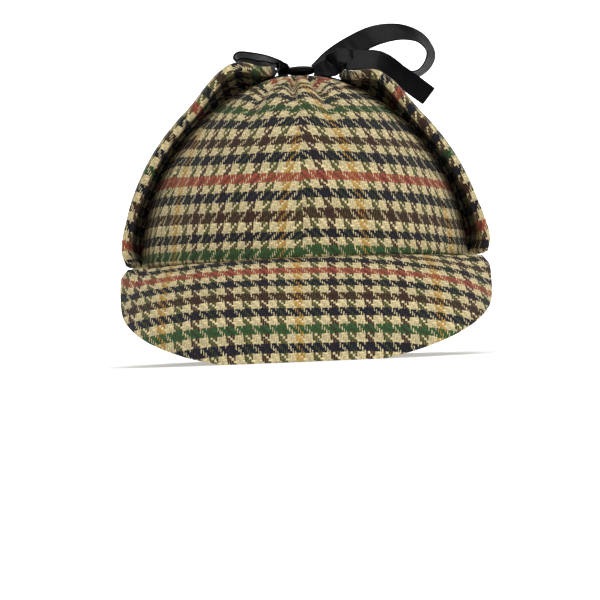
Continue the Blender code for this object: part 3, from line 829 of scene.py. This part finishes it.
class Nodes:
    """Short ways to add shader nodes to a material."""

    def __init__(self, name):
        self.material = bpy.data.materials.new(name)
        self.material.use_nodes = True
        self.tree = self.material.node_tree
        self.shader = self.tree.nodes["Principled BSDF"]

    def add(self, kind, **settings):
        node = self.tree.nodes.new(kind)
        for name, value in settings.items():
            setattr(node, name, value)
        return node

    def feed(self, socket, value):
        if hasattr(value, "links"):
            self.tree.links.new(value, socket)
        else:
            socket.default_value = value

    def math(self, operation, *values, clamp=False):
        node = self.add("ShaderNodeMath", operation=operation, use_clamp=clamp)
        for socket, value in zip(node.inputs, values):
            self.feed(socket, value)
        return node.outputs[0]

    def mix(self, share, first, second):
        node = self.add("ShaderNodeMix", data_type="RGBA")
        self.feed(node.inputs["Factor"], share)
        self.feed(node.inputs[6], first)
        self.feed(node.inputs[7], second)
        return node.outputs[2]

    def blend(self, share, first, second):
        node = self.add("ShaderNodeMix", data_type="FLOAT")
        self.feed(node.inputs["Factor"], share)
        self.feed(node.inputs[2], first)
        self.feed(node.inputs[3], second)
        return node.outputs[0]

    def scale(self, vector, amount):
        node = self.add("ShaderNodeVectorMath", operation="SCALE")
        self.feed(node.inputs[0], vector)
        self.feed(node.inputs["Scale"], amount)
        return node.outputs[0]

    def bump(self, height, strength, distance):
        node = self.add("ShaderNodeBump")
        node.inputs["Strength"].default_value = strength
        node.inputs["Distance"].default_value = distance
        self.feed(node.inputs["Height"], height)
        return node.outputs[0]

    def vector(self, x, y, z=0.0):
        node = self.add("ShaderNodeCombineXYZ")
        for socket, value in zip(node.inputs, (x, y, z)):
            self.feed(socket, value)
        return node.outputs[0]

    def split(self, vector):
        node = self.add("ShaderNodeSeparateXYZ")
        self.feed(node.inputs[0], vector)
        return node.outputs[0], node.outputs[1]

    def noise(self, vector, scale, detail=2.0, roughness=0.5):
        node = self.add("ShaderNodeTexNoise")
        self.feed(node.inputs["Vector"], vector)
        node.inputs["Scale"].default_value = scale
        node.inputs["Detail"].default_value = detail
        node.inputs["Roughness"].default_value = roughness
        return node.outputs["Fac"], node.outputs["Color"]

    def random(self, value):
        node = self.add("ShaderNodeTexWhiteNoise", noise_dimensions="1D")
        self.feed(node.inputs["W"], value)
        return node.outputs["Value"]

    def steps(self, share, colors):
        """A ramp that changes at once from each colour to the next."""
        node = self.add("ShaderNodeValToRGB")
        ramp = node.color_ramp
        ramp.interpolation = "CONSTANT"
        for index, color in enumerate(colors):
            place = index / len(colors)
            stop = ramp.elements[index] if index < 2 else ramp.elements.new(place)
            stop.position = place
            stop.color = (*color, 1.0)
        self.feed(node.inputs[0], share)
        return node.outputs[0]


# Half of what is seen of a warp thread where it lies on top, as a share of its pitch. A dark one on
# pale weft shows more of itself, on each side, and lies on top for longer.
WARP_HALF_WIDTH = 0.21
DARK_WARP_EXTRA = 0.25
DARK_THREADS = THREADS / 2
TWILL_REPEAT = 4.0

# How far threads wander and their fluff strays, in threads
THREAD_WANDER = 1.0
THREAD_FLUFF = 1.1

# How much darker and paler threads, fibres and patches of cloth get than the yarn's colour, and
# how dark the painted shade of the humps gets: the least share of it, and what is added to that
SHADES = {"thread": (0.85, 0.3), "fibre": (0.45, 1.1), "patch": (0.85, 0.3), "hump": (0.52, 0.50)}
FIBRE_STRETCH = 5.0
FIBRE_RELIEF = 0.5
THREAD_RELIEF = 0.0006
SATIN_RELIEF = 0.0004
TWEED_SHEEN = 0.06


def tweed(name, painted_light=1.0):
    """A shepherd's check in a two and two twill, thread by thread."""
    make = Nodes(name)
    cloth = make.add("ShaderNodeUVMap", uv_map="cloth").outputs[0]
    threads = make.scale(cloth, float(THREADS))

    # Threads wander a little, and their fluff blurs their sides
    wander = make.noise(threads, 0.35, 2.0)[1]
    fluff = make.noise(threads, 1.6, 3.0)[1]
    x, y = make.split(threads)
    wander_x, wander_y = make.split(wander)
    fluff_x, fluff_y = make.split(fluff)

    def shifted(place, wide, fine):
        place = make.math("MULTIPLY_ADD", make.math("SUBTRACT", wide, 0.5), THREAD_WANDER, place)
        return make.math("MULTIPLY_ADD", make.math("SUBTRACT", fine, 0.5), THREAD_FLUFF, place)

    def dark(thread):
        place = make.math("FLOORED_MODULO", thread, float(THREADS))
        return make.math("LESS_THAN", place, DARK_THREADS - 0.5)

    def shade(kind, value):
        least, extra = SHADES[kind]
        return make.math("MULTIPLY_ADD", value, extra, least)

    x = shifted(x, wander_x, fluff_x)
    y = shifted(y, wander_y, fluff_y)
    warp = make.math("FLOOR", x)
    weft = make.math("FLOOR", y)
    warp_part = make.math("FRACT", x)
    weft_part = make.math("FRACT", y)
    phase = make.math("FLOORED_MODULO", make.math("SUBTRACT", warp, weft), TWILL_REPEAT)
    dark_on_pale = make.math("MULTIPLY", dark(warp), make.math("SUBTRACT", 1.0, dark(weft)))
    half_width = make.math("MULTIPLY_ADD", dark_on_pale, DARK_WARP_EXTRA, WARP_HALF_WIDTH)
    warp_side = make.math("SUBTRACT", warp_part, 0.5)
    warp_seen = make.math("LESS_THAN", make.math("ABSOLUTE", warp_side), half_width)
    float_length = make.math("MULTIPLY_ADD", dark_on_pale, 1.0, 1.5)
    warp_up = make.math("MULTIPLY", make.math("LESS_THAN", phase, float_length), warp_seen)

    def yarn(thread, yarns):
        group = make.math("FLOOR", make.math("DIVIDE", make.math("ADD", thread, 0.5), THREADS))
        count = float(len(yarns))
        place = make.math("DIVIDE", make.math("ADD", group, 0.5), count)
        place = make.math("FRACT", place)
        stripes = make.steps(place, [linear(YARNS[color]) for color in yarns])
        colored = make.mix(dark(thread), (*linear(YARNS["cream"]), 1.0), stripes)
        return make.scale(colored, shade("thread", make.random(thread)))

    warp_color = yarn(warp, COLUMN_YARNS)
    weft_color = yarn(weft, ROW_YARNS)
    color = make.mix(warp_up, weft_color, warp_color)

    # Fibres run along the thread that lies on top
    thin_x = make.math("MULTIPLY", x, FIBRE_STRETCH)
    thin_y = make.math("MULTIPLY", y, FIBRE_STRETCH)
    warp_fibres = make.noise(make.vector(thin_x, y), 1.0, 3.0)[0]
    weft_fibres = make.noise(make.vector(x, thin_y, 7.0), 1.0, 3.0)[0]
    fibres = make.blend(warp_up, weft_fibres, warp_fibres)
    color = make.scale(color, shade("fibre", fibres))
    # Patches are the cloth's own uneven tone. The tweed's lightness factor scales their least share:
    # painted light, which makes a whole piece lighter where it faces the light.
    patches = make.noise(cloth, 1.3, 3.0)[0]
    least, extra = SHADES["patch"]
    color = make.scale(color, make.math("MULTIPLY_ADD", patches, extra, least * painted_light))

    # Each float of a thread is a rounded hump, two threads long
    def hump(side, progress):
        rounding = make.math("SINE", make.math("MULTIPLY", side, math.pi))
        rising = make.math("SINE", make.math("MULTIPLY", progress, math.pi))
        return make.math("MULTIPLY", rounding, make.math("MULTIPLY_ADD", rising, 0.6, 0.4))

    warp_progress = make.math("SUBTRACT", make.math("ADD", weft_part, 1.0), phase)
    warp_share = make.math("DIVIDE", warp_side, make.math("MULTIPLY", half_width, 2.0))
    warp_share = make.math("ADD", warp_share, 0.5, clamp=True)
    warp_hump = hump(warp_share, make.math("MULTIPLY", warp_progress, 0.5))
    weft_progress = make.math("ADD", warp_part, make.math("SUBTRACT", phase, 2.0))
    weft_hump = hump(weft_part, make.math("MULTIPLY", weft_progress, 0.5))
    height = make.blend(warp_up, weft_hump, warp_hump)
    height = make.math("ADD", height, make.math("MULTIPLY", fibres, FIBRE_RELIEF))
    # Painted shade: the colour darkens where the humps' height falls, between threads and at the
    # ends of floats
    color = make.scale(color, shade("hump", height))

    make.feed(make.shader.inputs["Base Color"], color)
    make.shader.inputs["Roughness"].default_value = 0.95
    make.shader.inputs["Specular IOR Level"].default_value = 0.15
    make.shader.inputs["Sheen Weight"].default_value = TWEED_SHEEN
    make.shader.inputs["Sheen Roughness"].default_value = 0.6
    make.feed(make.shader.inputs["Normal"], make.bump(height, 0.55, THREAD_RELIEF))
    return make.material


def satin(name):
    """Black satin ribbon: fine lengthwise floats, a corded selvedge and soft creases."""
    make = Nodes(name)
    cloth = make.add("ShaderNodeUVMap", uv_map="cloth").outputs[0]
    across, along = make.split(cloth)
    stretched = make.vector(make.math("MULTIPLY", across, 9.0), along)
    floats = make.noise(stretched, 700.0, 2.0)[0]
    creases = make.noise(make.vector(across, make.math("MULTIPLY", along, 3.0)), 60.0, 2.0)[0]
    edge = make.math("DIVIDE", make.math("ABSOLUTE", across), RIBBON_WIDTH / 2)
    cord = make.math("GREATER_THAN", edge, 0.9)
    height = make.math("ADD", make.math("MULTIPLY", floats, 0.25), make.math("MULTIPLY", cord, 0.6))
    height = make.math("ADD", height, make.math("MULTIPLY", creases, 2.5))
    black = (*linear((4, 4, 6)), 1.0)
    grey = (*linear((9, 9, 12)), 1.0)
    make.feed(make.shader.inputs["Base Color"], make.mix(floats, black, grey))
    roughness = make.math("MULTIPLY_ADD", floats, 0.15, 0.32)
    make.feed(make.shader.inputs["Roughness"], roughness)
    make.shader.inputs["Specular IOR Level"].default_value = 0.09
    make.shader.inputs["Anisotropic"].default_value = 0.5
    make.feed(make.shader.inputs["Normal"], make.bump(height, 0.35, SATIN_RELIEF))
    return make.material


# Pieces on the frame


def settle(piece, node):
    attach(piece, "root")
    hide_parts(node)


def dress_hat():
    crown_tweed = tweed("crown_tweed")
    # The peaks' tweed is a lighter copy of the crown's: painted light on faces that turn up to the
    # lamps
    peak_tweed = tweed("peak_tweed", painted_light=1.06)
    flap_tweed = tweed("flap_tweed")
    ribbon_satin = satin("ribbon_satin")
    settle(add_crown(crown_tweed), "crown")
    for cloth in PEAK_CLOTHS:
        settle(add_peak(cloth, peak_tweed), cloth.node)
    for flap in FLAPS:
        piece = add_flap(flap, flap_tweed)
        settle(piece, flap.name)
    for node, piece in add_bow(ribbon_satin).items():
        settle(piece, node)


# Floor, backdrop, light and camera

FLOOR_SIZE = 6.0
BACKDROP_DISTANCE = 2.2
BACKDROP_BEND = 0.6
BACKDROP_BEND_STEPS = 24
BACKDROP_GLOW = 0.35
WORLD_LIGHT = 0.16


def add_stage():
    """A pale floor that curves up into a backdrop."""
    profile = [(-FLOOR_SIZE / 2, 0.0)]
    for step in range(BACKDROP_BEND_STEPS + 1):
        angle = math.radians(90) * step / BACKDROP_BEND_STEPS
        profile.append(
            (
                BACKDROP_DISTANCE + BACKDROP_BEND * math.sin(angle),
                BACKDROP_BEND * (1 - math.cos(angle)),
            )
        )
    profile.append((BACKDROP_DISTANCE + BACKDROP_BEND, FLOOR_SIZE / 2))
    mesh = bpy.data.meshes.new("backdrop")
    vertices = []
    for y, z in profile:
        vertices += [(-FLOOR_SIZE / 2, y, z), (FLOOR_SIZE / 2, y, z)]
    faces = [(2 * i, 2 * i + 1, 2 * i + 3, 2 * i + 2) for i in range(len(profile) - 1)]
    mesh.from_pydata(vertices, [], faces)
    mesh.shade_smooth()
    make = Nodes("backdrop_paper")
    grain = make.noise(make.add("ShaderNodeTexCoord").outputs["Object"], 40.0, 3.0)[0]
    light = (0.93, 0.93, 0.93, 1.0)
    pale = (0.90, 0.90, 0.90, 1.0)
    make.feed(make.shader.inputs["Base Color"], make.mix(grain, pale, light))
    make.shader.inputs["Roughness"].default_value = 0.9
    make.shader.inputs["Emission Color"].default_value = (1.0, 1.0, 1.0, 1.0)
    make.shader.inputs["Emission Strength"].default_value = BACKDROP_GLOW
    mesh.materials.append(make.material)
    backdrop = bpy.data.objects.new("backdrop", mesh)
    bpy.context.scene.collection.objects.link(backdrop)


Lamp = namedtuple("Lamp", "name place target size power")
LAMPS = (
    Lamp("key_light", (0.4, -1.2, 1.8), (0, 0, 0.08), 0.9, 13.5),
    Lamp("fill_light", (0.9, -1.5, 0.5), (0, 0, 0.08), 0.9, 5.0),
    Lamp("top_light", (0.0, -0.2, 1.9), (0, 0, 0.05), 1.0, 12.0),
    Lamp("back_light", (0.0, 1.6, 1.6), (0, 2.8, 0.6), 1.6, 60.0),
)


def add_lights():
    for lamp in LAMPS:
        light = bpy.data.lights.new(lamp.name, "AREA")
        light.size = lamp.size
        light.energy = lamp.power
        thing = bpy.data.objects.new(lamp.name, light)
        bpy.context.scene.collection.objects.link(thing)
        aim = np.array(lamp.target) - np.array(lamp.place)
        thing.location = lamp.place
        thing.rotation_euler = direction_to_turn(aim)
    world = bpy.data.worlds.new("studio")
    world.use_nodes = True
    background = world.node_tree.nodes["Background"]
    background.inputs["Color"].default_value = (1.0, 1.0, 1.0, 1.0)
    background.inputs["Strength"].default_value = WORLD_LIGHT
    bpy.context.scene.world = world
    bpy.context.scene.view_settings.view_transform = "Standard"


def direction_to_turn(aim):
    return Vector(aim.tolist()).to_track_quat("-Z", "Y").to_euler()


# The camera, measured on the photograph: metres, and pixels of a picture 600 pixels wide
IMAGE_WIDTH_PX = 600
CAMERA_DISTANCE = 1.2
CAMERA_HEIGHT = 0.010
PIXEL_AT_HAT = 0.000515
HORIZON_PX = 340
HAT_ASIDE_PX = 6.5
CAMERA_ROLL_DEG = 2.4
SENSOR_WIDTH_MM = 36.0


def add_camera():
    """The camera is low and nearly level, and leans a little, as the photograph does."""
    focal_px = CAMERA_DISTANCE / PIXEL_AT_HAT
    data = bpy.data.cameras.new("camera")
    data.sensor_width = SENSOR_WIDTH_MM
    data.lens = SENSOR_WIDTH_MM * focal_px / IMAGE_WIDTH_PX
    data.clip_start = 0.05
    data.clip_end = 20.0
    camera = bpy.data.objects.new("camera", data)
    bpy.context.scene.collection.objects.link(camera)
    pitch = math.atan((HORIZON_PX - IMAGE_WIDTH_PX / 2) / focal_px)
    yaw = math.atan(HAT_ASIDE_PX / focal_px)
    turn = Matrix.Rotation(yaw, 4, "Z") @ Matrix.Rotation(math.radians(90) + pitch, 4, "X")
    turn = turn @ Matrix.Rotation(-math.radians(CAMERA_ROLL_DEG), 4, "Z")
    camera.matrix_world = Matrix.Translation((0, -CAMERA_DISTANCE, CAMERA_HEIGHT)) @ turn
    bpy.context.scene.camera = camera


dress_hat()
add_stage()
add_lights()
add_camera()
